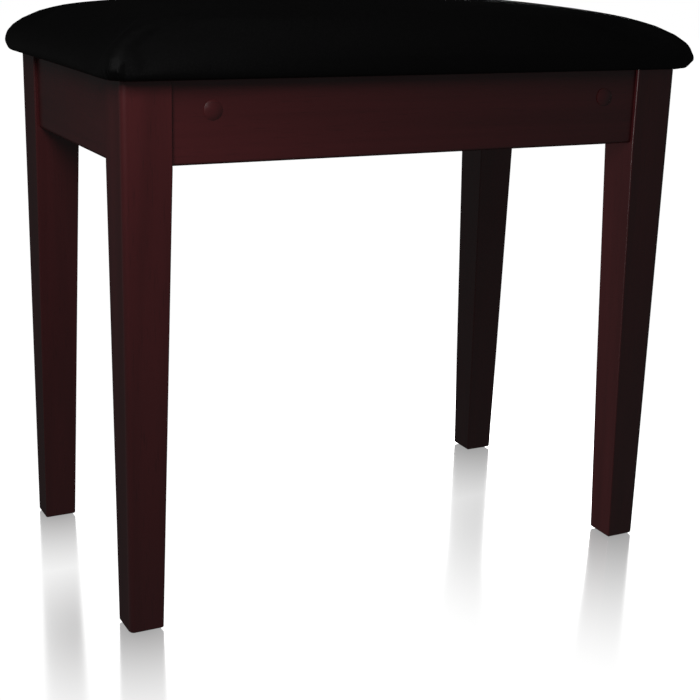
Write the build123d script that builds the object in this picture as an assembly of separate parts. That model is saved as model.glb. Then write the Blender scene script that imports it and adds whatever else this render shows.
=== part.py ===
from build123d import *
import math
import os

# Piano bench: four tapered legs bolted into the corners of an apron frame, with a fixed,
# domed and upholstered seat. Millimetres. X runs along the length, the front faces -Y,
# +Z is up, and the origin is on the floor under the middle of the bench.

# ---------------------------------------------------------------- driving dimensions
# Frame
BENCH_LENGTH = 510.0  # over the outer faces of the legs
BENCH_DEPTH = 285.0  # over the outer faces of the legs
FRAME_HEIGHT = 446.5  # floor to the top of legs and aprons

# Legs
LEG_SIZE = 40.0  # square, beside the aprons
FOOT_SIZE = 29.0  # square, at the foot: only the two inner faces taper
LEG_OUTER_ROUND = 4.5  # outer upright corner
LEG_EDGE_ROUND = 1.2  # other upright corners
LEG_TOP_ROUND = 1.0
FOOT_CHAMFER = 1.0
TAPER_DROP = 2.0  # how far below the aprons the taper starts
LEG_FLAT = 6.0  # inner corner cut back along each face, for the bolt

# Aprons
APRON_HEIGHT = 65.0
APRON_THICKNESS = 20.0
APRON_SETBACK = 3.5  # behind the outer faces of the legs
APRON_BOTTOM_ROUND = 3.0

# Diagonal corner blocks
BLOCK_THICKNESS = 22.0
BLOCK_HEIGHT = 45.0
BLOCK_DROP = 1.0  # below the top of the aprons
BLOCK_GAP = 5.0  # from the flat of the leg, so that the bolt pulls the leg tight

# Hanger bolt, washer and wing nut
BOLT_DIAMETER = 8.0
BOLT_IN_LEG = 30.0
BOLT_TAIL = 4.0  # past the nut
THREAD_PITCH = 1.25
THREAD_DEPTH = 0.6
WASHER_DIAMETER = 20.0
WASHER_THICKNESS = 1.6
NUT_HEIGHT = 9.0
NUT_BASE_DIAMETER = 16.0
NUT_TOP_DIAMETER = 12.5
WING_REACH = 17.0  # from the axis to the tip
WING_RISE = 15.0  # from the base of the nut to the tip
WING_TIP_RADIUS = 4.0
WING_ROOT_RADIUS = 3.5
WING_ROOT_RISE = 1.0  # from the base of the nut to the wings
WING_THICKNESS = 2.4
WING_TURN = 25.0  # degrees from upright

# Screws
SCREW_DIAMETER = 4.0
SCREW_HEAD_DIAMETER = 8.0
SCREW_HEAD_HEIGHT = 2.6
SCREW_RECESS_WIDTH = 1.1
SCREW_RECESS_DEPTH = 1.3
SCREW_TIP_COVER = 3.0  # wood left past the tip
SIDE_SCREW_GRIP = 8.0  # block wood under the head of a side screw
SEAT_SCREW_GRIP = 20.0  # block wood under the head of a seat screw
SEAT_SCREW_OFFSET = 11.5  # along the block, from the bolt

# Button plugs over the screws in the long aprons
PLUG_DIAMETER = 15.0
PLUG_RIM = 0.7
PLUG_DOME = 1.8
PLUG_TENON_DIAMETER = 10.0
PLUG_TENON_LENGTH = 4.0
PLUG_BORE_DEPTH = 7.0

# Seat
SEAT_OVERHANG = 15.0  # past the outer faces of the legs
SEAT_CORNER_RADIUS = 22.0
SEAT_RISE = 54.0  # top of the frame to the top of the crown
SEAT_EDGE_HEIGHT = 11.0  # top of the frame to the widest line of the edge roll
SEAT_EDGE_TUCK = 5.0  # how far the edge roll turns in at the bottom
CROWN_SHOULDER = 3.25  # a higher power keeps the crown full towards its edges
CROWN_SIDE = 2.24  # a higher power makes the sides of the crown steeper
CROWN_ROUNDNESS = 0.8  # corner radius near the top of the crown, as a share of its half depth
CROWN_ROUNDEST = 0.9  # the most that a corner radius may be, as a share of the half depth
CROWN_SWEEP = 80.0  # degrees of arc that space the levels of the crown, closer to the top
CROWN_TOP_SHARE = 0.02  # the smallest share, to the power of CROWN_SIDE, that is left flat on top
CROWN_LEVELS = 8
ROLL_LEVELS = 3  # between the bottom of the edge roll and its widest line
COVER_THICKNESS = 1.0
BOARD_THICKNESS = 12.0
BOARD_CLEARANCE = 1.0  # foam between the board's edge and the tightest turn of the cover
HEM_REACH = 12.0  # of the cover's hem, past the inner faces of the aprons

# Dust cover and staples
DUST_COVER_THICKNESS = 0.4
DUST_COVER_GAP = 4.0  # to the inner faces of the aprons
STAPLE_CROWN = 10.0
STAPLE_WIDTH = 1.2
STAPLE_WIRE = 0.5
STAPLE_LEG = 8.0
STAPLE_SPACING = 42.0

# Floor glides
GLIDE_DIAMETER = 20.0
GLIDE_THICKNESS = 1.5
GLIDE_EDGE_ROUND = 0.5
NAIL_DIAMETER = 2.0
NAIL_LENGTH = 15.0
NAIL_HEAD_DIAMETER = 5.0
NAIL_HEAD_HEIGHT = 0.6
NAIL_HEAD_RECESS = 0.4

# Clearances
FIT = 0.05  # all round a screw, bolt, nail or tenon in its hole
HEAD_CLEARANCE = 0.5  # all round a screw head in its counterbore

# ---------------------------------------------------------------- worked out from them
OUTER_X = BENCH_LENGTH / 2
OUTER_Y = BENCH_DEPTH / 2
APRON_BOTTOM = FRAME_HEIGHT - APRON_HEIGHT
APRON_INNER_X = OUTER_X - APRON_SETBACK - APRON_THICKNESS
APRON_INNER_Y = OUTER_Y - APRON_SETBACK - APRON_THICKNESS

# Across a corner, distances are measured as u + v: u along X and v along Y, both from the
# line where the inner faces of the two aprons would meet.
LEG_INTRUSION = LEG_SIZE - APRON_SETBACK - APRON_THICKNESS
FLAT_SUM = 2 * LEG_INTRUSION - LEG_FLAT
BLOCK_NEAR_SUM = FLAT_SUM + BLOCK_GAP * math.sqrt(2)
BLOCK_FAR_SUM = BLOCK_NEAR_SUM + BLOCK_THICKNESS * math.sqrt(2)
BLOCK_MID_SUM = (BLOCK_NEAR_SUM + BLOCK_FAR_SUM) / 2
BLOCK_TOP = FRAME_HEIGHT - BLOCK_DROP
BLOCK_MIDDLE = BLOCK_TOP - BLOCK_HEIGHT / 2

SCREW_REACH_IN_BLOCK = BLOCK_FAR_SUM - BLOCK_MID_SUM - SCREW_TIP_COVER
BOARD_INSET = SEAT_EDGE_TUCK + COVER_THICKNESS + BOARD_CLEARANCE
BOARD_BOTTOM = FRAME_HEIGHT + COVER_THICKNESS
SEAT_SCREW_HEAD_Z = BLOCK_TOP - SEAT_SCREW_GRIP

CORNERS = {
    "front_left": (-1, -1),
    "front_right": (1, -1),
    "rear_left": (-1, 1),
    "rear_right": (1, 1),
}


# ---------------------------------------------------------------- helpers
def to_corner(shape, side_x, side_y):
    """Carry a shape modelled in the rear right corner into another corner."""
    if side_x < 0 and side_y < 0:
        return Rot(0, 0, 180) * shape
    if side_x < 0:
        return mirror(shape, about=Plane.YZ)
    if side_y < 0:
        return mirror(shape, about=Plane.XZ)
    return shape


def corner_point(u, v):
    """A plan point of the rear right corner, u and v in from the aprons' inner faces."""
    return (APRON_INNER_X - u, APRON_INNER_Y - v)


def rod(plane, radius, start, end):
    """A round bar along a plane's normal, from one height over the plane to another."""
    bar = Cylinder(radius, end - start, align=(Align.CENTER, Align.CENTER, Align.MIN))
    return plane * Pos(0, 0, start) * bar


def slab(length, depth, corner_radius, bottom, top):
    """A level plate with rounded corners."""
    return Pos(0, 0, bottom) * extrude(RectangleRounded(length, depth, corner_radius), top - bottom)


# Planes whose normals run along the hardware, out of the wood on the side of the head.
flat_x, flat_y = corner_point(FLAT_SUM / 2, FLAT_SUM / 2)
BOLT_PLANE = Plane(origin=(flat_x, flat_y, BLOCK_MIDDLE), x_dir=(0, 0, 1), z_dir=(-1, -1, 0))
NUT_START = BLOCK_GAP + BLOCK_THICKNESS + WASHER_THICKNESS

screw_x, _ = corner_point(BLOCK_MID_SUM, 0)
APRON_SCREW_PLANE = Plane(
    origin=(screw_x, OUTER_Y - APRON_SETBACK - PLUG_BORE_DEPTH, BLOCK_MIDDLE),
    x_dir=(1, 0, 0),
    z_dir=(0, 1, 0),
)
APRON_SCREW_LENGTH = APRON_THICKNESS - PLUG_BORE_DEPTH + SCREW_REACH_IN_BLOCK

_, side_screw_y = corner_point(0, BLOCK_MID_SUM)
SIDE_SCREW_PLANE = Plane(
    origin=(APRON_INNER_X - SIDE_SCREW_GRIP, side_screw_y, BLOCK_MIDDLE),
    x_dir=(0, 1, 0),
    z_dir=(-1, 0, 0),
)
SIDE_SCREW_LENGTH = SIDE_SCREW_GRIP + APRON_THICKNESS - SCREW_TIP_COVER

seat_screw_x, seat_screw_y = corner_point(
    BLOCK_MID_SUM / 2 + SEAT_SCREW_OFFSET / math.sqrt(2),
    BLOCK_MID_SUM / 2 - SEAT_SCREW_OFFSET / math.sqrt(2),
)
SEAT_SCREW_PLANE = Plane(
    origin=(seat_screw_x, seat_screw_y, SEAT_SCREW_HEAD_Z),
    x_dir=(1, 0, 0),
    z_dir=(0, 0, -1),
)
SEAT_SCREW_LENGTH = BOARD_BOTTOM + BOARD_THICKNESS - SCREW_TIP_COVER - SEAT_SCREW_HEAD_Z

foot_x = OUTER_X - FOOT_SIZE / 2
foot_y = OUTER_Y - FOOT_SIZE / 2
NAIL_PLANE = Plane(origin=(foot_x, foot_y, NAIL_HEAD_RECESS), x_dir=(1, 0, 0), z_dir=(0, 0, 1))


def screw_hole(plane, length):
    """The hole that a screw's shank needs below its head."""
    return rod(plane, SCREW_DIAMETER / 2 + FIT, -length, 0)


# ---------------------------------------------------------------- wood frame
def leg_section(size, height):
    """A level section of the rear right leg, flush with the leg's two outer faces."""
    middle = Pos(OUTER_X - size / 2, OUTER_Y - size / 2, height)
    return middle * RectangleRounded(size, size, LEG_EDGE_ROUND)


def make_leg():
    """The rear right leg: straight outside, its inner faces tapered below the apron."""
    taper_start = APRON_BOTTOM - TAPER_DROP
    shaft = loft([leg_section(FOOT_SIZE, GLIDE_THICKNESS), leg_section(LEG_SIZE, taper_start)])
    leg = shaft + extrude(leg_section(LEG_SIZE, taper_start), FRAME_HEIGHT - taper_start)

    envelope = Polygon(
        (OUTER_X, OUTER_Y),
        (OUTER_X - 2 * LEG_SIZE, OUTER_Y),
        (OUTER_X - 2 * LEG_SIZE, OUTER_Y - 2 * LEG_SIZE),
        (OUTER_X, OUTER_Y - 2 * LEG_SIZE),
        align=None,
    )
    outer_corner = envelope.vertices().sort_by_distance(Vector(OUTER_X, OUTER_Y, 0))[0]
    leg &= extrude(fillet(outer_corner, LEG_OUTER_ROUND), FRAME_HEIGHT)
    leg = fillet(leg.faces().sort_by(Axis.Z)[-1].edges(), LEG_TOP_ROUND)
    leg = chamfer(leg.faces().sort_by(Axis.Z)[0].edges(), FOOT_CHAMFER)

    inner_x = OUTER_X - LEG_SIZE
    inner_y = OUTER_Y - LEG_SIZE
    corner = Polygon(
        (inner_x, inner_y),
        (inner_x + LEG_FLAT, inner_y),
        (inner_x, inner_y + LEG_FLAT),
        align=None,
    )
    leg -= Pos(0, 0, APRON_BOTTOM) * extrude(corner, APRON_HEIGHT)
    leg -= rod(BOLT_PLANE, BOLT_DIAMETER / 2 + FIT, -BOLT_IN_LEG, 0)
    leg -= rod(NAIL_PLANE, NAIL_DIAMETER / 2 + FIT, 0, NAIL_LENGTH)
    return leg


def make_apron(length):
    """A plain apron along X, its outer face at y = 0, its body at y < 0."""
    board = Pos(0, 0, APRON_BOTTOM) * Box(
        length, APRON_THICKNESS, APRON_HEIGHT, align=(Align.CENTER, Align.MAX, Align.MIN)
    )
    bottom_edges = board.faces().sort_by(Axis.Z)[0].edges().filter_by(Axis.X)
    return fillet(bottom_edges, APRON_BOTTOM_ROUND)


def make_long_apron():
    """The rear apron, bored for two plugs and their screws."""
    apron = Pos(0, OUTER_Y - APRON_SETBACK, 0) * make_apron(BENCH_LENGTH - 2 * LEG_SIZE)
    for side in (-1, 1):
        bore = rod(APRON_SCREW_PLANE, PLUG_TENON_DIAMETER / 2, 0, PLUG_BORE_DEPTH)
        hole = screw_hole(APRON_SCREW_PLANE, APRON_THICKNESS - PLUG_BORE_DEPTH)
        apron -= to_corner(bore + hole, side, 1)
    return apron


def make_side_apron():
    """The right apron, with blind holes for the two screws from the corner blocks."""
    apron = make_apron(BENCH_DEPTH - 2 * LEG_SIZE)
    apron = Pos(OUTER_X - APRON_SETBACK, 0, 0) * Rot(0, 0, -90) * apron
    for side in (-1, 1):
        apron -= to_corner(screw_hole(SIDE_SCREW_PLANE, SIDE_SCREW_LENGTH), 1, side)
    return apron


def make_corner_block():
    """The diagonal block of the rear right corner, with holes for all its fasteners."""
    outline = Polygon(
        corner_point(BLOCK_NEAR_SUM, 0),
        corner_point(BLOCK_FAR_SUM, 0),
        corner_point(0, BLOCK_FAR_SUM),
        corner_point(0, BLOCK_NEAR_SUM),
        align=None,
    )
    block = Pos(0, 0, BLOCK_TOP - BLOCK_HEIGHT) * extrude(outline, BLOCK_HEIGHT)
    head_bore = SCREW_HEAD_DIAMETER / 2 + HEAD_CLEARANCE
    block -= rod(BOLT_PLANE, BOLT_DIAMETER / 2 + FIT, 0, NUT_START)
    block -= screw_hole(APRON_SCREW_PLANE, APRON_SCREW_LENGTH)
    block -= screw_hole(SIDE_SCREW_PLANE, SIDE_SCREW_GRIP)
    block -= rod(SIDE_SCREW_PLANE, head_bore, 0, BLOCK_FAR_SUM)
    block -= screw_hole(SEAT_SCREW_PLANE, SEAT_SCREW_GRIP)
    block -= rod(SEAT_SCREW_PLANE, head_bore, 0, BLOCK_HEIGHT)
    return block


# ---------------------------------------------------------------- hardware
def make_screw(plane, length):
    """A pan head wood screw with a cross recess; the plane is under its head."""
    radius = SCREW_DIAMETER / 2
    head = Cylinder(
        SCREW_HEAD_DIAMETER / 2, SCREW_HEAD_HEIGHT, align=(Align.CENTER, Align.CENTER, Align.MIN)
    )
    head = fillet(head.faces().sort_by(Axis.Z)[-1].edges(), SCREW_HEAD_HEIGHT / 2)
    recess_bottom = SCREW_HEAD_HEIGHT - SCREW_RECESS_DEPTH
    for turn in (0, 90):
        head -= Pos(0, 0, recess_bottom) * Rot(0, 0, turn) * Box(
            SCREW_HEAD_DIAMETER / 2,
            SCREW_RECESS_WIDTH,
            SCREW_RECESS_DEPTH,
            align=(Align.CENTER, Align.CENTER, Align.MIN),
        )
    tip = SCREW_DIAMETER
    shank = Polygon(
        (0, 0), (radius, 0), (radius, tip - length), (0, -length), align=None
    )
    return plane * (head + revolve(Plane.XZ * shank, Axis.Z))


def make_hanger_bolt():
    """Wood screw end in the leg, ringed machine end through the block, washer and nut."""
    radius = BOLT_DIAMETER / 2
    root = radius - THREAD_DEPTH
    thread_start = BLOCK_GAP + BLOCK_THICKNESS / 2
    end = NUT_START + NUT_HEIGHT + BOLT_TAIL
    rings = int((end - thread_start) / THREAD_PITCH)
    outline = [(0, -BOLT_IN_LEG), (radius, BOLT_DIAMETER - BOLT_IN_LEG)]
    for ring in range(rings):
        crest = thread_start + ring * THREAD_PITCH
        outline += [(radius, crest), (root, crest + THREAD_PITCH / 2)]
    outline += [(root, end), (0, end)]
    return BOLT_PLANE * revolve(Plane.XZ * Polygon(*outline, align=None), Axis.Z)


def make_washer():
    washer = rod(BOLT_PLANE, WASHER_DIAMETER / 2, NUT_START - WASHER_THICKNESS, NUT_START)
    return washer - rod(BOLT_PLANE, BOLT_DIAMETER / 2 + FIT, 0, NUT_START)


def make_wing_nut():
    """A tapered hub with two upswept wings."""
    hub = Polygon(
        (0, 0), (NUT_BASE_DIAMETER / 2, 0), (NUT_TOP_DIAMETER / 2, NUT_HEIGHT), (0, NUT_HEIGHT),
        align=None,
    )
    nut = revolve(Plane.XZ * hub, Axis.Z)
    root_middle = WING_ROOT_RISE + WING_ROOT_RADIUS
    root = Pos(NUT_BASE_DIAMETER / 2, root_middle) * Circle(WING_ROOT_RADIUS)
    tip = Pos(WING_REACH - WING_TIP_RADIUS, WING_RISE - WING_TIP_RADIUS) * Circle(WING_TIP_RADIUS)
    wing = extrude(Plane.XZ * make_hull(root.edges() + tip.edges()), WING_THICKNESS / 2, both=True)
    nut += wing + mirror(wing, about=Plane.YZ)
    nut -= Cylinder(BOLT_DIAMETER / 2 + FIT, 2 * WING_RISE)
    return BOLT_PLANE * Pos(0, 0, NUT_START) * Rot(0, 0, WING_TURN) * nut


def make_plug():
    """A round wooden button: a domed head on the apron, a tenon in the bore."""
    radius = PLUG_DIAMETER / 2
    tenon = PLUG_TENON_DIAMETER / 2 - FIT
    outer_face = PLUG_BORE_DEPTH
    rim_top = outer_face + PLUG_RIM
    sphere = (radius**2 + PLUG_DOME**2) / (2 * PLUG_DOME)
    halfway_rise = math.sqrt(sphere**2 - (radius / 2) ** 2) - (sphere - PLUG_DOME)
    dome = ThreePointArc(
        (radius, rim_top), (radius / 2, rim_top + halfway_rise), (0, rim_top + PLUG_DOME)
    )
    body = Polyline(
        (0, rim_top + PLUG_DOME),
        (0, outer_face - PLUG_TENON_LENGTH),
        (tenon, outer_face - PLUG_TENON_LENGTH),
        (tenon, outer_face),
        (radius, outer_face),
        (radius, rim_top),
    )
    return APRON_SCREW_PLANE * revolve(Plane.XZ * make_face(dome + body), Axis.Z)


def make_glide():
    """A round floor glide under the foot, with a recess for the head of its nail."""
    floor = Plane(origin=(foot_x, foot_y, 0), x_dir=(1, 0, 0), z_dir=(0, 0, 1))
    glide = rod(floor, GLIDE_DIAMETER / 2, 0, GLIDE_THICKNESS)
    glide = fillet(glide.faces().sort_by(Axis.Z)[0].edges(), GLIDE_EDGE_ROUND)
    glide -= rod(floor, NAIL_HEAD_DIAMETER / 2 + FIT, 0, NAIL_HEAD_RECESS + NAIL_HEAD_HEIGHT)
    glide -= rod(floor, NAIL_DIAMETER / 2 + FIT, 0, GLIDE_THICKNESS)
    return glide


def make_nail():
    head = rod(NAIL_PLANE, NAIL_HEAD_DIAMETER / 2, 0, NAIL_HEAD_HEIGHT)
    shank = rod(NAIL_PLANE, NAIL_DIAMETER / 2, 0, NAIL_LENGTH - NAIL_DIAMETER)
    tip = Cone(NAIL_DIAMETER / 2, 0, NAIL_DIAMETER, align=(Align.CENTER, Align.CENTER, Align.MIN))
    return head + shank + NAIL_PLANE * Pos(0, 0, NAIL_LENGTH - NAIL_DIAMETER) * tip


# ---------------------------------------------------------------- seat
def cushion(inset):
    """The domed seat, pulled in all round by inset: stacked level outlines, skinned."""
    half_length = OUTER_X + SEAT_OVERHANG - inset
    half_depth = OUTER_Y + SEAT_OVERHANG - inset
    corner_radius = SEAT_CORNER_RADIUS - inset
    widest = FRAME_HEIGHT + SEAT_EDGE_HEIGHT
    roll = SEAT_EDGE_HEIGHT - inset
    crown = SEAT_RISE - SEAT_EDGE_HEIGHT - inset
    levels = []
    for level in range(ROLL_LEVELS + 1):
        turn = math.pi / 2 * level / ROLL_LEVELS
        tuck = SEAT_EDGE_TUCK * (1 - math.sin(turn))
        height = widest - roll * math.cos(turn)
        levels.append((height, half_length - tuck, half_depth - tuck, corner_radius - tuck))
    sweep = math.radians(CROWN_SWEEP)
    for level in range(1, CROWN_LEVELS + 1):
        rise = math.sin(sweep * level / CROWN_LEVELS) / math.sin(sweep)
        left = max(1 - rise**CROWN_SHOULDER, CROWN_TOP_SHARE)
        share = left ** (1 / CROWN_SIDE)
        depth = half_depth * share
        radius = corner_radius + rise * (CROWN_ROUNDNESS * depth - corner_radius)
        radius = min(radius, CROWN_ROUNDEST * depth)
        levels.append((widest + crown * rise, half_length * share, depth, radius))
    outlines = []
    for height, length, depth, radius in levels:
        outlines.append(Pos(0, 0, height) * RectangleRounded(2 * length, 2 * depth, radius))
    return loft(outlines, ruled=True)


def board_block():
    """The space that the seat board fills, inside the edge roll."""
    return slab(
        BENCH_LENGTH + 2 * (SEAT_OVERHANG - BOARD_INSET),
        BENCH_DEPTH + 2 * (SEAT_OVERHANG - BOARD_INSET),
        SEAT_CORNER_RADIUS - BOARD_INSET,
        BOARD_BOTTOM,
        BOARD_BOTTOM + BOARD_THICKNESS,
    )


def seat_screw_holes():
    """Holes for all four seat screws, through hem, dust cover and board."""
    hole = screw_hole(SEAT_SCREW_PLANE, SEAT_SCREW_LENGTH)
    return Compound([to_corner(hole, *sides) for sides in CORNERS.values()])


def make_cover():
    """The leatherette skin over the pad, turned under the board in a stapled hem."""
    hem_opening = slab(
        2 * (APRON_INNER_X - HEM_REACH),
        2 * (APRON_INNER_Y - HEM_REACH),
        HEM_REACH,
        FRAME_HEIGHT,
        BOARD_BOTTOM,
    )
    return cushion(0) - cushion(COVER_THICKNESS) - hem_opening - seat_screw_holes()


def make_dust_cover():
    """Black cloth under the seat, cut off at the corners to clear the corner blocks."""
    half_length = APRON_INNER_X - DUST_COVER_GAP
    half_depth = APRON_INNER_Y - DUST_COVER_GAP
    cut = BLOCK_FAR_SUM - DUST_COVER_GAP
    outline = Rectangle(2 * half_length, 2 * half_depth)
    outline = chamfer(outline.vertices(), cut)
    return Pos(0, 0, FRAME_HEIGHT - DUST_COVER_THICKNESS) * extrude(outline, DUST_COVER_THICKNESS)


def make_staple():
    """One staple along X, its crown under the dust cover and its legs up into the board."""
    crown_top = FRAME_HEIGHT - DUST_COVER_THICKNESS
    low = (Align.CENTER, Align.CENTER, Align.MIN)
    staple = Pos(0, 0, crown_top - STAPLE_WIRE) * Box(
        STAPLE_CROWN, STAPLE_WIDTH, STAPLE_WIRE, align=low
    )
    for side in (-1, 1):
        offset = side * (STAPLE_CROWN - STAPLE_WIRE) / 2
        staple += Pos(offset, 0, crown_top) * Box(STAPLE_WIRE, STAPLE_WIDTH, STAPLE_LEG, align=low)
    return staple


def row_places(half_run):
    """Evenly spaced staple places along a run, no further apart than the spacing."""
    gaps = math.ceil(2 * half_run / STAPLE_SPACING)
    return [-half_run + 2 * half_run * index / gaps for index in range(gaps + 1)]


def make_staples():
    """All the staples: one row along each edge of the dust cover."""
    inset = (HEM_REACH + DUST_COVER_GAP) / 2
    line_x = APRON_INNER_X - inset
    line_y = APRON_INNER_Y - inset
    end_gap = BLOCK_FAR_SUM + STAPLE_CROWN
    staple = make_staple()
    staples = []
    for side in (-1, 1):
        for x in row_places(APRON_INNER_X - end_gap):
            staples.append(Pos(x, side * line_y, 0) * staple)
        for y in row_places(APRON_INNER_Y - end_gap):
            staples.append(Pos(side * line_x, y, 0) * Rot(0, 0, 90) * staple)
    return Compound(staples)


# ---------------------------------------------------------------- assembly
def group(shape):
    """The same fastener in all four corners, as separate solids."""
    return Compound([to_corner(shape, *sides) for sides in CORNERS.values()])


nodes = {}

leg = make_leg()
block = make_corner_block()
plug = make_plug()
glide = make_glide()
for name, sides in CORNERS.items():
    nodes["leg_" + name] = to_corner(leg, *sides)
    nodes["corner_block_" + name] = to_corner(block, *sides)
    nodes["button_plug_" + name] = to_corner(plug, *sides)
    nodes["floor_glide_" + name] = to_corner(glide, *sides)

long_apron = make_long_apron()
side_apron = make_side_apron()
nodes["apron_front"] = to_corner(long_apron, 1, -1)
nodes["apron_rear"] = long_apron
nodes["apron_left"] = to_corner(side_apron, -1, 1)
nodes["apron_right"] = side_apron

nodes["hanger_bolts"] = group(make_hanger_bolt())
nodes["bolt_washers"] = group(make_washer())
nodes["wing_nuts"] = group(make_wing_nut())
nodes["apron_screws"] = group(make_screw(APRON_SCREW_PLANE, APRON_SCREW_LENGTH))
nodes["side_screws"] = group(make_screw(SIDE_SCREW_PLANE, SIDE_SCREW_LENGTH))
nodes["seat_screws"] = group(make_screw(SEAT_SCREW_PLANE, SEAT_SCREW_LENGTH))
nodes["glide_nails"] = group(make_nail())

staples = make_staples()
nodes["seat_board"] = board_block() - seat_screw_holes() - staples
nodes["seat_foam"] = cushion(COVER_THICKNESS) - board_block()
nodes["seat_cover"] = make_cover() - staples
nodes["dust_cover"] = make_dust_cover() - staples
nodes["staples"] = staples

os.makedirs("parts", exist_ok=True)
for name, shape in nodes.items():
    export_step(shape, "parts/" + name + ".step")
    print(name, len(shape.solids()), "solids", round(sum(s.volume for s in shape.solids())), "mm3")
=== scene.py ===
# %% [markdown]
# # A piano bench, from plain frame to finished piece
# The bench is already designed: a frame of legs and aprons, corner blocks, bolts and a
# padded seat, each a separate piece. This lesson loads that design as a fixed frame and
# gives it everything that the eye reads as real: lacquered wood, a leatherette cushion
# that was pulled tight over foam, thin cloth underneath, and plain studio light.

import math

import bmesh
import bpy
from mathutils import Matrix, Vector


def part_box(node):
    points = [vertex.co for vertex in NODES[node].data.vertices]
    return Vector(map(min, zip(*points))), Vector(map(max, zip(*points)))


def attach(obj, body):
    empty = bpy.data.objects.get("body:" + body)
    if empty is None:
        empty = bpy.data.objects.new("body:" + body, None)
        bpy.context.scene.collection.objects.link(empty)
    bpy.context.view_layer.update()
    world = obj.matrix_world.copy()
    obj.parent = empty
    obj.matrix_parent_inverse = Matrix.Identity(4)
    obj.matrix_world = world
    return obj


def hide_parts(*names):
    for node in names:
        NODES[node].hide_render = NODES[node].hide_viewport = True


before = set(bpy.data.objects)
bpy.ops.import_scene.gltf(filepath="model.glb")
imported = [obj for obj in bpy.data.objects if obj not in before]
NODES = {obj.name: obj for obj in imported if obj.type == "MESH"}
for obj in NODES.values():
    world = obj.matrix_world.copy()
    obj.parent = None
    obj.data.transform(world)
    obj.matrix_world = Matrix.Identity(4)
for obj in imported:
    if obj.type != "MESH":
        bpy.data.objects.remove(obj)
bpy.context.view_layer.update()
MM = 0.001
print("the bench has", len(NODES), "pieces")

# %% [markdown]
# ## Where the camera stands
# A bench shows itself best from a little above seat height and from the front left, with
# a longish lens so that the legs stay nearly parallel. The camera is turned in three
# steps: round the upright axis, down towards the floor, and a touch of roll. The lens is
# shifted slightly, as a view camera's is, instead of tilting the camera further.

# %% Make the camera
CAMERA_PLACE = Vector((-0.568, -1.110, 0.5465))
CAMERA_TURN = math.radians(-26.61)
CAMERA_TILT = math.radians(-16.18)
CAMERA_ROLL = math.radians(1.39)
LENS_MM = 70.6
SENSOR_MM = 36.0
LENS_SHIFT = (0.034, -0.014)

bpy.ops.object.camera_add(location=CAMERA_PLACE)
camera = bpy.context.object
camera.name = "view_camera"
camera.data.lens = LENS_MM
camera.data.sensor_width = SENSOR_MM
camera.data.shift_x, camera.data.shift_y = LENS_SHIFT
aim = Matrix.Rotation(CAMERA_TURN, 3, "Z") @ Matrix.Rotation(math.pi / 2 + CAMERA_TILT, 3, "X")
camera.rotation_euler = (aim @ Matrix.Rotation(CAMERA_ROLL, 3, "Z")).to_euler()
bpy.context.scene.camera = camera
bpy.context.scene.view_settings.view_transform = "Standard"
print("camera stands", round(CAMERA_PLACE.length, 2), "m from the middle of the floor")

# %% [markdown]
# ## Small helpers for modelling
# Operators act on whatever is selected, and loading leaves every piece selected. So each
# step starts by letting go of everything. The helpers below name the habits that this
# lesson leans on: start clean, pick parts of a mesh by a rule, and finish a piece with
# its modifiers applied.


# %% Helpers: start clean, pick by rule, finish
def let_go():
    if bpy.context.mode != "OBJECT":
        bpy.ops.object.mode_set(mode="OBJECT")
    bpy.ops.object.select_all(action="DESELECT")


def take(piece):
    let_go()
    piece.select_set(True)
    bpy.context.view_layer.objects.active = piece


def pick(piece, kind, rule):
    """In edit mode, select the faces or edges for which the rule is true."""
    bpy.ops.mesh.select_mode(type=kind)
    bpy.ops.mesh.select_all(action="DESELECT")
    shape = bmesh.from_edit_mesh(piece.data)
    for part in shape.faces if kind == "FACE" else shape.edges:
        part.select_set(bool(rule(part)))
    shape.select_flush_mode()
    bmesh.update_edit_mesh(piece.data)


def apply_modifiers(piece):
    take(piece)
    for modifier in list(piece.modifiers):
        bpy.ops.object.modifier_apply(modifier=modifier.name)


def copy_of(piece, name):
    twin = piece.copy()
    twin.data = piece.data.copy()
    twin.name = name
    bpy.context.scene.collection.objects.link(twin)
    return twin


def size_in_mm(piece):
    spots = [v.co for v in piece.data.vertices]
    return [round((max(s[k] for s in spots) - min(s[k] for s in spots)) / MM, 1) for k in range(3)]


# %% [markdown]
# ## The block that the cushion starts from
# An upholsterer lays a foam slab on a board, rounds its edge, and pulls leatherette over
# it. Here the pad starts as a box with rounded upright corners, and its bottom face is
# inset twice to turn the edge roll under. It starts a little under a millimetre small
# all round, because the simulation that follows makes it swell.

# %% Block out the edge roll
seat_low, seat_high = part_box("seat_cover")
SEAT_BOTTOM = seat_low.z
SWELL = 0.8 * MM
HALF_LENGTH = (seat_high.x - seat_low.x) / 2 - SWELL
HALF_DEPTH = (seat_high.y - seat_low.y) / 2 - SWELL
ROLL_LOW = 8 * MM
ROLL_HIGH = 15 * MM
CORNER_RADIUS = 20 * MM
UNDER_STEPS = ((0.4 * MM, 4 * MM), (2.2 * MM, 4 * MM))

let_go()
bpy.ops.mesh.primitive_cube_add(size=2, location=(0, 0, SEAT_BOTTOM + (ROLL_LOW + ROLL_HIGH) / 2))
pad = bpy.context.object
pad.name = "cushion_block"
pad.scale = (HALF_LENGTH, HALF_DEPTH, (ROLL_HIGH - ROLL_LOW) / 2)
bpy.ops.object.transform_apply(location=True, rotation=True, scale=True)
bpy.ops.object.mode_set(mode="EDIT")
pick(pad, "EDGE", lambda e: abs(e.verts[0].co.z - e.verts[1].co.z) > MM)
bpy.ops.mesh.bevel(offset=CORNER_RADIUS, segments=8, affect="EDGES")
pick(pad, "FACE", lambda f: f.normal.z < -0.9)
for inward, down in UNDER_STEPS:
    bpy.ops.mesh.inset(thickness=inward)
    bpy.ops.transform.translate(value=(0, 0, -down))
bpy.ops.object.mode_set(mode="OBJECT")
print("cushion block:", size_in_mm(pad), "mm")

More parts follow.
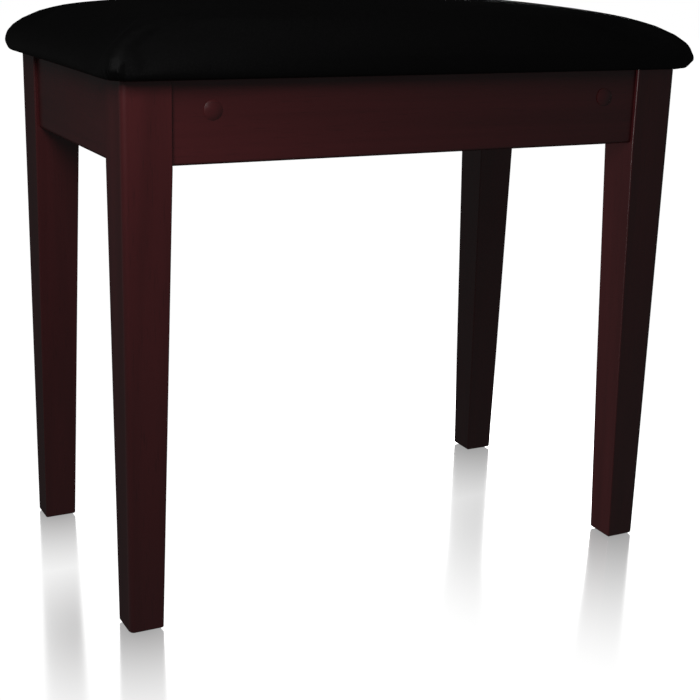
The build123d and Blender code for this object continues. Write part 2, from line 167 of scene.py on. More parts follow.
# %% [markdown]
# ## Raise the crown
# The crown comes from foam that is thicker in the middle: it rises steeply off the edge
# and then flattens out. Stacked insets would cross at the corners, so the top is shaped
# as a sculptor would do it, by moving points. The block is remeshed into small
# squares, and each point on top is raised by how far in it is from the edge. The two
# distances, from the long and the short sides, are blended, so that the dome has no
# ridge running in from its corners. A light smoothing softens the line where the top
# leaves the roll, and a second remesh makes the stretched squares even.

# %% Remesh, raise, remesh
VOXEL = 5.5 * MM
EDGE_RISE = 17 * MM
EDGE_WIDTH = 18 * MM
MIDDLE_RISE = 27 * MM
MIDDLE_WIDTH = 108 * MM
BLEND = 2.3


def even_skin(piece):
    remesh = piece.modifiers.new("even_skin", "REMESH")
    remesh.mode = "VOXEL"
    remesh.voxel_size = VOXEL
    apply_modifiers(piece)


def crown(spot):
    """How much higher than the edge roll the top is at a spot."""
    from_end = max(HALF_LENGTH - abs(spot.x), 0.01 * MM)
    from_side = max(HALF_DEPTH - abs(spot.y), 0.01 * MM)
    inward = (from_end**-BLEND + from_side**-BLEND) ** (-1 / BLEND)
    return EDGE_RISE * (1 - math.exp(-inward / EDGE_WIDTH)) + MIDDLE_RISE * (
        1 - math.exp(-inward / MIDDLE_WIDTH)
    )


even_skin(pad)
for point in pad.data.vertices:
    share = min(max((point.co.z - SEAT_BOTTOM - ROLL_LOW) / (ROLL_HIGH - ROLL_LOW), 0), 1)
    point.co.z += share * crown(point.co)
take(pad)
above = pad.vertex_groups.new(name="above")
high = [v.index for v in pad.data.vertices if v.co.z > SEAT_BOTTOM + ROLL_HIGH + MM]
above.add(high, 1.0, "ADD")
rounder = pad.modifiers.new("rounder", "SMOOTH")
rounder.vertex_group = "above"
rounder.factor = 0.5
rounder.iterations = 3
apply_modifiers(pad)
even_skin(pad)
print("skin:", len(pad.data.polygons), "faces,", size_in_mm(pad), "mm")

# %% [markdown]
# ## Pull the leatherette tight
# A real cover is stapled under the board all round and the foam pushes it out. The
# cloth solver does the same: the flat bottom is held, pressure pushes the rest out, and
# gravity is off because foam carries the weight. Twenty frames are enough, and no point
# may move further than a few millimetres, because leatherette hardly stretches. Then the
# bottom is made flat again, and the cushion is stretched back to the length and depth
# that the design gives it, which the pull has narrowed.

# %% Swell the cushion with the cloth solver
FRAMES = 20
HELD_HEIGHT = 1.5 * MM
PRESSURE = 4.0
FURTHEST_MOVE = 4.5 * MM


def settle(piece, frames, cap, keep_still, pressure=0.0, gravity=0.0, stiffness=15.0):
    """Run cloth on a piece, cap how far each point moves, and keep the result."""
    take(piece)
    held = piece.vertex_groups.new(name="held")
    held.add([v.index for v in piece.data.vertices if keep_still(v.co)], 1.0, "ADD")
    cloth = piece.modifiers.new("cloth", "CLOTH")
    cloth.settings.vertex_group_mass = "held"
    cloth.settings.quality = 5
    cloth.settings.tension_stiffness = stiffness
    cloth.settings.compression_stiffness = stiffness
    cloth.settings.bending_stiffness = 2.0
    cloth.settings.use_pressure = pressure > 0
    cloth.settings.uniform_pressure_force = pressure
    cloth.settings.effector_weights.gravity = gravity
    cloth.collision_settings.use_collision = False
    cloth.point_cache.frame_start = 1
    cloth.point_cache.frame_end = frames
    for count in range(1, frames + 1):
        bpy.context.scene.frame_set(count)
    worn = piece.evaluated_get(bpy.context.evaluated_depsgraph_get()).data
    moves = [new.co - old.co for new, old in zip(worn.vertices, piece.data.vertices)]
    piece.modifiers.remove(cloth)
    bpy.context.scene.frame_set(1)
    for point, move in zip(piece.data.vertices, moves):
        far = move.length
        soft = cap * math.tanh(far / cap)
        point.co += move * (soft / far if far > 0 else 0)
    piece.vertex_groups.clear()
    return max(m.length for m in moves)


def on_the_board(spot):
    return spot.z < SEAT_BOTTOM + HELD_HEIGHT


furthest = settle(pad, FRAMES, FURTHEST_MOVE, on_the_board, pressure=PRESSURE)
print("the pressure alone would move it", round(furthest / MM, 1), "mm")
for point in pad.data.vertices:
    if on_the_board(point.co):
        point.co.z = SEAT_BOTTOM
length_mm, depth_mm = size_in_mm(pad)[:2]
longer = (seat_high.x - seat_low.x) / (length_mm * MM)
deeper = (seat_high.y - seat_low.y) / (depth_mm * MM)
take(pad)
bpy.ops.transform.resize(value=(longer, deeper, 1), center_override=(0, 0, 0))
bpy.ops.object.transform_apply(location=True, rotation=True, scale=True)
print("cushion, stretched back to its width after the pull:", size_in_mm(pad), "mm")

# %% [markdown]
# ## The foam under the skin
# The foam is the same form, smaller by the cover's thickness and a little slack for its
# pleats, with the space of the seat board cut out from below. It can't be seen, but the
# cover is only as thick as real leatherette, so something has to fill it. A boolean cuts
# the board's space, with a tenth of a millimetre to spare.

# %% Make the foam
SKIN = 1.0 * MM
SLACK = 0.4 * MM
SPARE = 0.1 * MM
BOARD_CORNER = 15 * MM
foam = copy_of(pad, "foam_pad")
take(foam)
bpy.ops.object.mode_set(mode="EDIT")
bpy.ops.mesh.select_all(action="SELECT")
bpy.ops.transform.shrink_fatten(value=-(SKIN + SLACK))
bpy.ops.object.mode_set(mode="OBJECT")

board_low, board_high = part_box("seat_board")
board_size = board_high - board_low
let_go()
bpy.ops.mesh.primitive_cube_add(size=1, location=(board_low + board_high) / 2)
board_space = bpy.context.object
board_space.scale = board_size + 2 * SPARE * Vector((1, 1, 1))
bpy.ops.object.transform_apply(location=True, rotation=True, scale=True)
bpy.ops.object.mode_set(mode="EDIT")
pick(board_space, "FACE", lambda f: f.normal.z < -0.9)
bpy.ops.transform.translate(value=(0, 0, -board_size.z))
pick(board_space, "EDGE", lambda e: abs(e.verts[0].co.z - e.verts[1].co.z) > MM)
bpy.ops.mesh.bevel(offset=BOARD_CORNER, segments=8, affect="EDGES")
bpy.ops.object.mode_set(mode="OBJECT")
cut = foam.modifiers.new("board_space", "BOOLEAN")
cut.operation = "DIFFERENCE"
cut.solver = "EXACT"
cut.object = board_space
apply_modifiers(foam)
bpy.data.objects.remove(board_space)
bpy.ops.object.shade_smooth_by_angle(angle=math.radians(40))
print("foam:", len(foam.data.polygons), "faces,", size_in_mm(foam), "mm")

# %% [markdown]
# ## The cover as a skin with a hem
# The cover ends in a hem under the board, where the staples hold it. So the flat bottom
# is cut on four lines, and the part inside them is deleted. One subdivision makes the
# skin smooth before small folds are worked in.

# %% Open the bottom and leave a hem
apron_inner_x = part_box("apron_right")[0].x
apron_inner_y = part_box("apron_rear")[0].y
HEM = 12 * MM
hem_x = apron_inner_x - HEM
hem_y = apron_inner_y - HEM

cover = pad
cover.name = "leatherette_cover"
cover.data.name = "leatherette_cover"
finer = cover.modifiers.new("finer", "SUBSURF")
finer.levels = finer.render_levels = 1
apply_modifiers(cover)
bpy.ops.object.mode_set(mode="EDIT")


def flat_bottom(face):
    return face.normal.z < -0.99 and face.calc_center_median().z < SEAT_BOTTOM + 0.3 * MM


for normal, place in (
    ((1, 0, 0), (hem_x, 0, 0)),
    ((-1, 0, 0), (-hem_x, 0, 0)),
    ((0, 1, 0), (0, hem_y, 0)),
    ((0, -1, 0), (0, -hem_y, 0)),
):
    pick(cover, "FACE", flat_bottom)
    bpy.ops.mesh.bisect(plane_co=place, plane_no=normal)
pick(
    cover,
    "FACE",
    lambda f: flat_bottom(f)
    and abs(f.calc_center_median().x) < hem_x
    and abs(f.calc_center_median().y) < hem_y,
)
bpy.ops.mesh.delete(type="FACE")
bpy.ops.object.mode_set(mode="OBJECT")
print("the opening in the hem is", round(2 * hem_x / MM), "by", round(2 * hem_y / MM), "mm")

# %% [markdown]
# ## Small folds at the corners
# Flat material can't turn a round corner without spare cloth. The upholsterer gathers it
# into a few small pleats that start just above the widest line of the roll and deepen
# as they turn under the board. Each corner gets finer faces first, and then the cloth
# between the folds is pushed out, so that the folds stay behind as grooves that fan out
# from the corner's centre.

# %% Work pleats into the four corners
PLEATS = 5
PLEAT_RISE = 0.9 * MM
half_x = max(v.co.x for v in cover.data.vertices)
half_y = max(v.co.y for v in cover.data.vertices)
PLEAT_TOP = SEAT_BOTTOM + 15 * MM
PLEAT_DEEPENS_OVER = 9 * MM
FLAT_HEM = 0.5 * MM


def corner_turn(spot):
    """How far round its corner a point is, 0 to 1, or None where it isn't at one."""
    across = abs(spot.x) - (half_x - CORNER_RADIUS)
    along = abs(spot.y) - (half_y - CORNER_RADIUS)
    if across <= 0 or along <= 0:
        return None
    return math.atan2(along, across) / (math.pi / 2)


take(cover)
bpy.ops.object.mode_set(mode="EDIT")
pick(
    cover,
    "FACE",
    lambda f: corner_turn(f.calc_center_median()) is not None
    and f.calc_center_median().z < PLEAT_TOP + 2 * MM,
)
bpy.ops.mesh.subdivide(number_cuts=1, smoothness=0)
bpy.ops.object.mode_set(mode="OBJECT")
for point in cover.data.vertices:
    turn = corner_turn(point.co)
    if turn is None or point.co.z > PLEAT_TOP:
        continue
    depth = min(1.0, (PLEAT_TOP - point.co.z) / PLEAT_DEEPENS_OVER)
    ends = math.sin(math.pi * turn)
    groove = max(0.0, math.cos(2 * math.pi * PLEATS * turn)) ** 3
    angle = turn * math.pi / 2
    outward = Vector(
        (math.copysign(math.cos(angle), point.co.x), math.copysign(math.sin(angle), point.co.y), 0)
    )
    if point.co.z > SEAT_BOTTOM + FLAT_HEM:
        point.co += outward * PLEAT_RISE * (1 - groove) * depth * ends
print("worked", PLEATS, "folds into each corner")

# %% [markdown]
# ## A thickness for the skin
# Leatherette is about a millimetre thick, and its hem shows that under the board.
# Solidify adds the thickness on the inside, so that the outside stays where it is.
# Modelling an inner face by hand would be slower and never as even. Then the cover and
# the foam take the place of the plain seat pieces in the frame.

# %% Give the skin its thickness
thick = cover.modifiers.new("skin", "SOLIDIFY")
thick.thickness = SKIN
thick.offset = -1
apply_modifiers(cover)
bpy.ops.object.shade_smooth_by_angle(angle=math.radians(50))
print("cover:", len(cover.data.polygons), "faces,", size_in_mm(cover), "mm")
for piece, node, finish, fill in (
    (cover, "seat_cover", "black_leatherette", 0.95),
    (foam, "seat_foam", "seat_foam", 0.9),
):
    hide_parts(node)
    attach(piece, "root")

# %% [markdown]
# ## The dust cover
# Thin black cloth is stapled under the seat to hide the board and the hem. Its corners
# are cut off to clear the corner blocks. It is a grid of small squares cut by four
# bisects. A single flat face would do for the outline, but it couldn't hang.

# %% Cut the sheet
cloth_low, cloth_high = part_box("dust_cover")
SHEET_LENGTH = cloth_high.x - cloth_low.x
SHEET_WIDTH = cloth_high.y - cloth_low.y
SHEET_CUT = 61.2 * MM
SQUARE = 5 * MM

let_go()
bpy.ops.mesh.primitive_grid_add(
    x_subdivisions=round(SHEET_LENGTH / SQUARE),
    y_subdivisions=round(SHEET_WIDTH / SQUARE),
    size=1,
    location=(0, 0, cloth_high.z),
)
sheet = bpy.context.object
sheet.name = "dust_cloth"
sheet.scale = (SHEET_LENGTH, SHEET_WIDTH, 1)
bpy.ops.object.transform_apply(location=True, rotation=True, scale=True)
bpy.ops.object.mode_set(mode="EDIT")
for side_x in (-1, 1):
    for side_y in (-1, 1):
        bpy.ops.mesh.select_all(action="SELECT")
        bpy.ops.mesh.bisect(
            plane_co=(side_x * SHEET_LENGTH / 2, side_y * (SHEET_WIDTH / 2 - SHEET_CUT), 0),
            plane_no=(side_x, side_y, 0),
            clear_outer=True,
        )
bpy.ops.object.mode_set(mode="OBJECT")

# %% [markdown]
# ## The sag between staples
# The cloth hangs a few millimetres between its staples. The bags could be drawn by hand,
# but the cloth solver finds them for any row of staples. The solver's cloth is softer
# than the real one and sags too far, so the result is eased back, which keeps its form.
# The small thickness comes last.

# %% Let it hang from its staples
SAG = 3.0 * MM
STAPLE_HOLDS = 4 * MM
staple_spots = {}
for point in NODES["staples"].data.vertices:
    square = (round(point.co.x / STAPLE_HOLDS), round(point.co.y / STAPLE_HOLDS))
    staple_spots[square] = point.co.copy()


def under_a_staple(spot):
    return any((spot.xy - s.xy).length < STAPLE_HOLDS for s in staple_spots.values())


flat = [v.co.copy() for v in sheet.data.vertices]
settle(sheet, frames=12, cap=1.0, keep_still=under_a_staple, gravity=1.0, stiffness=40.0)
lowest = max(f.z - v.co.z for f, v in zip(flat, sheet.data.vertices))
for before, point in zip(flat, sheet.data.vertices):
    point.co = before + (point.co - before) * (SAG / lowest)
print("it sagged", round(lowest / MM, 1), "mm, eased to", SAG / MM)
weave = sheet.modifiers.new("cloth_thickness", "SOLIDIFY")
weave.thickness = cloth_high.z - cloth_low.z
weave.offset = -1
apply_modifiers(sheet)
bpy.ops.object.mode_set(mode="EDIT")
bpy.ops.mesh.select_all(action="SELECT")
bpy.ops.mesh.normals_make_consistent(inside=False)
bpy.ops.object.mode_set(mode="OBJECT")
bpy.ops.object.shade_smooth_by_angle(angle=math.radians(50))
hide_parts("dust_cover")
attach(sheet, "root")
print("dust cover:", size_in_mm(sheet), "mm")

# %% [markdown]
# ## Small helpers for finishes
# Every finish is a tree of shader nodes. The helpers add a node with its settings, wire
# its inputs, and start a node group. A group puts out only colours, masks, values and
# heights. The shader stays in the material itself, so that it can be read on its own.


# %% Helpers: nodes, wires, groups
def feed(tree, socket, value):
    """Give a socket a plain value, or wire another socket into it."""
    if isinstance(value, bpy.types.NodeSocket):
        tree.links.new(value, socket)
    else:
        socket.default_value = value


def add(tree, kind, inputs=None, **settings):
    """Add a node. An input may be a value, or a socket to wire from."""
    node = tree.nodes.new(kind)
    for name, value in settings.items():
        setattr(node, name, value)
    for name, value in (inputs or {}).items():
        feed(tree, node.inputs[name], value)
    return node


def result(tree, work, *values):
    """The outcome of a small sum: ADD, SUBTRACT, MULTIPLY, POWER and the like."""
    return add(tree, "ShaderNodeMath", dict(enumerate(values)), operation=work).outputs["Value"]


def new_group(name, inputs, outputs):
    """Start a node group. Inputs are name to (kind, value), outputs name to kind."""
    tree = bpy.data.node_groups.new(name, "ShaderNodeTree")
    for label, (kind, value) in inputs.items():
        socket = tree.interface.new_socket(label, in_out="INPUT", socket_type="NodeSocket" + kind)
        if value is not None:
            socket.default_value = value
    for label, kind in outputs.items():
        tree.interface.new_socket(label, in_out="OUTPUT", socket_type="NodeSocket" + kind)
    return tree, tree.nodes.new("NodeGroupInput").outputs, tree.nodes.new("NodeGroupOutput")


def place_group(tree, group, inputs):
    node = tree.nodes.new("ShaderNodeGroup")
    node.node_tree = group
    for name, value in inputs.items():
        feed(tree, node.inputs[name], value)
    return node.outputs


def new_finish(name, **plain):
    """Start a material. Plain values are set on the shader's own sockets."""
    finish = bpy.data.materials.new(name)
    finish.use_nodes = True
    tree = finish.node_tree
    shader = tree.nodes["Principled BSDF"]
    for label, value in plain.items():
        shader.inputs[label.replace("_", " ")].default_value = value
    spot = tree.nodes.new("ShaderNodeTexCoord").outputs["Object"]
    return finish, tree, shader, spot


def between(tree, low, high, share):
    """A number between low and high, by a share from 0 to 1. Each may be a socket."""
    span = tree.nodes.new("ShaderNodeMapRange")
    for name, value in (("Value", share), ("To Min", low), ("To Max", high)):
        feed(tree, span.inputs[name], value)
    return span.outputs["Result"]


def blend_colours(tree, first, second, share):
    mix = add(tree, "ShaderNodeMix", data_type="RGBA")
    for place, value in ((0, share), (6, first), (7, second)):
        feed(tree, mix.inputs[place], value)
    return mix.outputs[2]


def raise_surface(tree, shader, height, distance, strength=1.0):
    bump = add(
        tree, "ShaderNodeBump", {"Height": height, "Distance": distance, "Strength": strength}
    )
    feed(tree, shader.inputs["Normal"], bump.outputs["Normal"])


def set_gloss(tree, shader, spot, scale, low, high):
    """Let the roughness wander between two values."""
    sheen = place_group(tree, gloss, {"Vector": spot, "Scale": scale, "Low": low, "High": high})
    feed(tree, shader.inputs["Roughness"], sheen["Roughness"])


def paint(finish, *names):
    for name in names:
        NODES[name].material_slots[0].material = finish


# %% [markdown]
# ## A group for wood figure
# Wood is long in one direction. The figure is made once with its grain upright, along Z,
# and each material turns and squeezes its coordinates so that the grain runs along the
# member. Slow bands give the figure, and thin dark dashes are the pores that still show
# as tiny dents under lacquer.

# %% Wood figure group
wood, inlet, outlet = new_group(
    "wood_figure",
    {
        "Vector": ("Vector", None),
        "Band Scale": ("Float", 45.0),
        "Pore Scale": ("Float", 900.0),
    },
    {"Figure": "Float", "Pores": "Float"},
)
bands = add(
    wood,
    "ShaderNodeTexNoise",
    {"Vector": inlet["Vector"], "Scale": inlet["Band Scale"], "Detail": 4.0, "Distortion": 0.6},
)
dashes = add(
    wood,
    "ShaderNodeTexNoise",
    {"Vector": inlet["Vector"], "Scale": inlet["Pore Scale"], "Detail": 2.0},
)
figure = add(
    wood, "ShaderNodeMapRange", {"Value": bands.outputs["Fac"], "From Min": 0.3, "From Max": 0.7}
)
pores = add(
    wood, "ShaderNodeMapRange", {"Value": dashes.outputs["Fac"], "From Min": 0.6, "From Max": 0.72}
)
wood.links.new(figure.outputs["Result"], outlet.inputs["Figure"])
wood.links.new(pores.outputs["Result"], outlet.inputs["Pores"])

# %% [markdown]
# ## A group for arrises
# Sanding and lacquer both run thin on sharp edges, and the stained wood is painted a
# little lighter there: partly that thin finish, partly a painted highlight along each
# arris. Cycles can tell how near an edge is: the Bevel node gives the normal of a rounded
# edge, and where it differs from the true normal, there is an arris.

# %% Arris group
arris, inlet, outlet = new_group("arris", {"Radius": ("Float", 0.0015)}, {"Edge": "Float"})
rounded = add(arris, "ShaderNodeBevel", {"Radius": inlet["Radius"]}, samples=4)
flat_side = arris.nodes.new("ShaderNodeNewGeometry")
alike = add(
    arris,
    "ShaderNodeVectorMath",
    {0: rounded.outputs["Normal"], 1: flat_side.outputs["Normal"]},
    operation="DOT_PRODUCT",
)
edge = add(
    arris,
    "ShaderNodeMapRange",
    {"Value": alike.outputs["Value"], "From Min": 0.99, "From Max": 0.8},
)
arris.links.new(edge.outputs["Result"], outlet.inputs["Edge"])

# %% [markdown]
# ## A group for uneven gloss
# No sprayed or moulded surface is equally shiny all over. Slow, cloudy changes and a few
# finer ones move the roughness between two values.

# %% Uneven gloss group
gloss, inlet, outlet = new_group(
    "uneven_gloss",
    {
        "Vector": ("Vector", None),
        "Scale": ("Float", 12.0),
        "Low": ("Float", 0.3),
        "High": ("Float", 0.4),
    },
    {"Roughness": "Float"},
)
cloud = add(
    gloss,
    "ShaderNodeTexNoise",
    {"Vector": inlet["Vector"], "Scale": inlet["Scale"], "Detail": 5.0},
)
level = add(
    gloss,
    "ShaderNodeMapRange",
    {
        "Value": cloud.outputs["Fac"],
        "From Min": 0.3,
        "From Max": 0.7,
        "To Min": inlet["Low"],
        "To Max": inlet["High"],
    },
)
gloss.links.new(level.outputs["Result"], outlet.inputs["Roughness"])

# %% [markdown]
# ## Dark red lacquered hardwood
# The frame is stained a deep red brown, close to black, under satin lacquer. The stain
# nearly hides the figure, so the streaks are faint: they show only where light falls
# along the wood. Legs are upright, long aprons run along X and short ones along Y, so
# the same finish is made three times with its grain turned.

# %% Lacquer finishes
STAIN_DEEP = (0.085, 0.0105, 0.0125, 1)
STAIN_WARM = (0.125, 0.0175, 0.0205, 1)
# The lighter edge colour is partly thin lacquer and partly a painted highlight on the arrises.
THIN_LACQUER_AND_HIGHLIGHT = (0.165, 0.026, 0.024, 1)
STAIN_PORES = (0.03, 0.004, 0.005, 1)
EDGE_AND_HIGHLIGHT_STRENGTH = 0.45
PORE_STRENGTH = 0.35
GRAIN_STRETCH = 0.05
ALONG = {
    "upright": (1, 1, GRAIN_STRETCH),
    "long": (GRAIN_STRETCH, 1, 1),
    "cross": (1, GRAIN_STRETCH, 1),
}
lacquer = {}
for run, squeeze in ALONG.items():
    finish, tree, shader, spot = new_finish(
        "stained_lacquer_" + run, Coat_Weight=0.25, Coat_Roughness=0.18
    )
    turned = add(tree, "ShaderNodeMapping", {"Vector": spot, "Scale": squeeze})
    look = place_group(tree, wood, {"Vector": turned.outputs["Vector"]})
    near_edge = place_group(tree, arris, {"Radius": 1.6 * MM})
    stained = blend_colours(tree, STAIN_DEEP, STAIN_WARM, look["Figure"])
    # Edges are painted lighter: partly thin lacquer, partly a painted highlight along each arris.
    edge_and_highlight_share = result(tree, "MULTIPLY", near_edge["Edge"], EDGE_AND_HIGHLIGHT_STRENGTH)
    stained = blend_colours(tree, stained, THIN_LACQUER_AND_HIGHLIGHT, edge_and_highlight_share)
    pore_share = result(tree, "MULTIPLY", look["Pores"], PORE_STRENGTH)
    stained = blend_colours(tree, stained, STAIN_PORES, pore_share)
    feed(tree, shader.inputs["Base Color"], stained)
    set_gloss(tree, shader, spot, 14.0, 0.30, 0.42)
    dents = result(tree, "SUBTRACT", look["Figure"], look["Pores"])
    raise_surface(tree, shader, dents, 0.06 * MM, 0.5)
    lacquer[run] = finish

CORNERS = ("front_left", "front_right", "rear_left", "rear_right")


def at_corners(kind):
    return [kind + "_" + corner for corner in CORNERS]


paint(lacquer["upright"], *at_corners("leg"))
paint(lacquer["long"], "apron_front", "apron_rear", *at_corners("button_plug"))
paint(lacquer["cross"], "apron_left", "apron_right")
print("made", len(lacquer), "lacquer finishes, one for each run of the grain")

# %% [markdown]
# ## Black leatherette
# Leatherette is a vinyl skin, embossed with a fine pebble grain under a millimetre
# across. The pebbles are cells with creases between them, and the creases are a touch
# duller, with painted shade that makes them a little darker still. The black is very
# deep, so only its gloss shows the form.

# %% Pebble grain group and the leatherette finish
PEBBLE_DRIFT = 1.2 * MM
CREASE_WIDTH = 0.12
VINYL = (0.0022, 0.0021, 0.0023, 1)
# Painted shade: a darker black for the creases of the grain.
PAINTED_CREASE_SHADE = (0.001, 0.001, 0.001, 1)
CREASE_DULLNESS = 0.15
pebble, inlet, outlet = new_group(
    "pebble_grain",
    {"Vector": ("Vector", None), "Cells": ("Float", 900.0)},
    {"Height": "Float", "Crease": "Float"},
)
wander = add(
    pebble, "ShaderNodeTexNoise", {"Vector": inlet["Vector"], "Scale": 260.0, "Detail": 2.0}
)
drift = add(
    pebble,
    "ShaderNodeVectorMath",
    {0: wander.outputs["Color"], "Scale": PEBBLE_DRIFT},
    operation="SCALE",
)
moved = add(
    pebble,
    "ShaderNodeVectorMath",
    {0: inlet["Vector"], 1: drift.outputs["Vector"]},
    operation="ADD",
)
cells = add(
    pebble,
    "ShaderNodeTexVoronoi",
    {"Vector": moved.outputs["Vector"], "Scale": inlet["Cells"]},
    feature="DISTANCE_TO_EDGE",
)
crease = add(
    pebble,
    "ShaderNodeMapRange",
    {
        "Value": cells.outputs["Distance"],
        "From Min": 0.0,
        "From Max": CREASE_WIDTH,
        "To Min": 1.0,
        "To Max": 0.0,
    },
)
dome = add(
    pebble,
    "ShaderNodeMapRange",
    {"Value": cells.outputs["Distance"], "From Min": 0.0, "From Max": 0.3},
    interpolation_type="SMOOTHSTEP",
)
pebble.links.new(dome.outputs["Result"], outlet.inputs["Height"])
pebble.links.new(crease.outputs["Result"], outlet.inputs["Crease"])

finish, tree, shader, spot = new_finish("black_leatherette", Specular_IOR_Level=0.13)
grain = place_group(tree, pebble, {"Vector": spot, "Cells": 950.0})
# The creases get painted shade, a darker black where the grain dips.
skin_colour = blend_colours(tree, VINYL, PAINTED_CREASE_SHADE, grain["Crease"])
feed(tree, shader.inputs["Base Color"], skin_colour)
sheen = place_group(tree, gloss, {"Vector": spot, "Scale": 22.0, "Low": 0.38, "High": 0.5})
duller = result(tree, "MULTIPLY_ADD", grain["Crease"], CREASE_DULLNESS, sheen["Roughness"])
feed(tree, shader.inputs["Roughness"], duller)
raise_surface(tree, shader, grain["Height"], 0.12 * MM, 0.6)
cover.data.materials.clear()
cover.data.materials.append(finish)

# %% [markdown]
# ## Bare beech
# The corner blocks are sawn beech that nobody sees, so they have no finish: pale, dull,
# with short dark flecks along the grain. The wood group makes both, with less stretch
# than the lacquered parts have, because beech has a short, even grain.

# %% Beech finish
BEECH_PALE = (0.47, 0.29, 0.16, 1)
BEECH_LIGHT = (0.62, 0.43, 0.27, 1)
BEECH_FLECK = (0.27, 0.13, 0.06, 1)
finish, tree, shader, spot = new_finish("bare_beech", Specular_IOR_Level=0.3)
turned = add(tree, "ShaderNodeMapping", {"Vector": spot, "Scale": (1, 1, 0.3)})
look = place_group(
    tree, wood, {"Vector": turned.outputs["Vector"], "Band Scale": 60.0, "Pore Scale": 520.0}
)
beech = blend_colours(tree, BEECH_PALE, BEECH_LIGHT, look["Figure"])
beech = blend_colours(tree, beech, BEECH_FLECK, result(tree, "MULTIPLY", look["Pores"], 0.6))
feed(tree, shader.inputs["Base Color"], beech)
set_gloss(tree, shader, spot, 30.0, 0.6, 0.75)
raise_surface(tree, shader, look["Figure"], 0.1 * MM, 0.6)
paint(finish, *at_corners("corner_block"))

# %% [markdown]
# ## Plywood
# The seat board is birch plywood. Its faces are plain veneer, and its edges show the
# plies as level stripes of lighter and darker wood. Real layers could be modelled, but
# waves along Z put the same stripes on every edge.

# %% Plywood finish
PLY = 1.5 * MM
WAVES_PER_STRIPE = 3.2
BIRCH_PALE = (0.50, 0.34, 0.19, 1)
BIRCH_LIGHT = (0.64, 0.47, 0.29, 1)
END_GRAIN = (0.30, 0.17, 0.08, 1)
finish, tree, shader, spot = new_finish("plywood", Specular_IOR_Level=0.3)
turned = add(tree, "ShaderNodeMapping", {"Vector": spot, "Scale": (GRAIN_STRETCH, 1, 1)})
look = place_group(tree, wood, {"Vector": turned.outputs["Vector"], "Band Scale": 40.0})
plies = add(
    tree,
    "ShaderNodeTexWave",
    {"Vector": spot, "Scale": 1 / (2 * PLY) / WAVES_PER_STRIPE, "Distortion": 0.2},
    bands_direction="Z",
)
birch = blend_colours(tree, BIRCH_PALE, BIRCH_LIGHT, look["Figure"])
birch = blend_colours(tree, birch, END_GRAIN, result(tree, "MULTIPLY", plies.outputs["Fac"], 0.45))
feed(tree, shader.inputs["Base Color"], birch)
set_gloss(tree, shader, spot, 25.0, 0.55, 0.7)
raise_surface(tree, shader, look["Figure"], 0.1 * MM, 0.5)
paint(finish, "seat_board")

# %% [markdown]
# ## Foam
# Upholstery foam is a sponge of open cells, pale straw yellow and quite dull. The cells
# are too small to model, so round Voronoi cells colour them and dent the surface.

# %% Foam finish
STRAW = (0.72, 0.66, 0.42, 1)
STRAW_DEEP = (0.55, 0.47, 0.25, 1)
finish, tree, shader, spot = new_finish("seat_foam", Specular_IOR_Level=0.1)
bubbles = add(tree, "ShaderNodeTexVoronoi", {"Vector": spot, "Scale": 900.0}, feature="F1")
straw = blend_colours(tree, STRAW, STRAW_DEEP, bubbles.outputs["Distance"])
feed(tree, shader.inputs["Base Color"], straw)
set_gloss(tree, shader, spot, 40.0, 0.85, 0.95)
raise_surface(tree, shader, bubbles.outputs["Distance"], 0.6 * MM, 0.8)
foam.data.materials.clear()
foam.data.materials.append(finish)

# %% [markdown]
# ## Dust cloth
# The dust cloth is non-woven: black fibres laid at random and spot-welded on a small
# diamond pattern. An even Voronoi pattern, turned by 45 degrees, gives the welds, which
# are smoother than the felt around them.

# %% Dust cloth finish
WELD_PITCH = 2.0 * MM
FIBRE_DARK = (0.012, 0.012, 0.013, 1)
FIBRE_LIGHT = (0.03, 0.03, 0.032, 1)
WELD_BLACK = (0.008, 0.008, 0.009, 1)
finish, tree, shader, spot = new_finish("dust_cloth", Specular_IOR_Level=0.25)
diamond = add(
    tree,
    "ShaderNodeMapping",
    {
        "Vector": spot,
        "Rotation": (0, 0, math.radians(45)),
        "Scale": (1 / WELD_PITCH, 1 / WELD_PITCH, 0),
    },
)
welds = add(
    tree,
    "ShaderNodeTexVoronoi",
    {"Vector": diamond.outputs["Vector"], "Scale": 1.0, "Randomness": 0.0},
)
weld = add(
    tree,
    "ShaderNodeMapRange",
    {"Value": welds.outputs["Distance"], "From Min": 0.18, "From Max": 0.3},
)
fibres = add(tree, "ShaderNodeTexNoise", {"Vector": spot, "Scale": 1500.0, "Detail": 4.0})
felt = blend_colours(tree, FIBRE_DARK, FIBRE_LIGHT, fibres.outputs["Fac"])
felt = blend_colours(tree, WELD_BLACK, felt, weld.outputs["Result"])
feed(tree, shader.inputs["Base Color"], felt)
feed(tree, shader.inputs["Roughness"], between(tree, 0.55, 0.9, weld.outputs["Result"]))
height = result(tree, "ADD", weld.outputs["Result"], fibres.outputs["Fac"])
raise_surface(tree, shader, height, 0.15 * MM, 0.7)
sheet.data.materials.clear()
sheet.data.materials.append(finish)

# %% [markdown]
# ## Zinc and wire
# Bolts, washers, nuts and screws are steel with bright zinc, which is slightly cloudy
# and bluish. Staple wire is drawn, so it is cleaner. All are the same metal finish with
# other values, so a loop makes them.

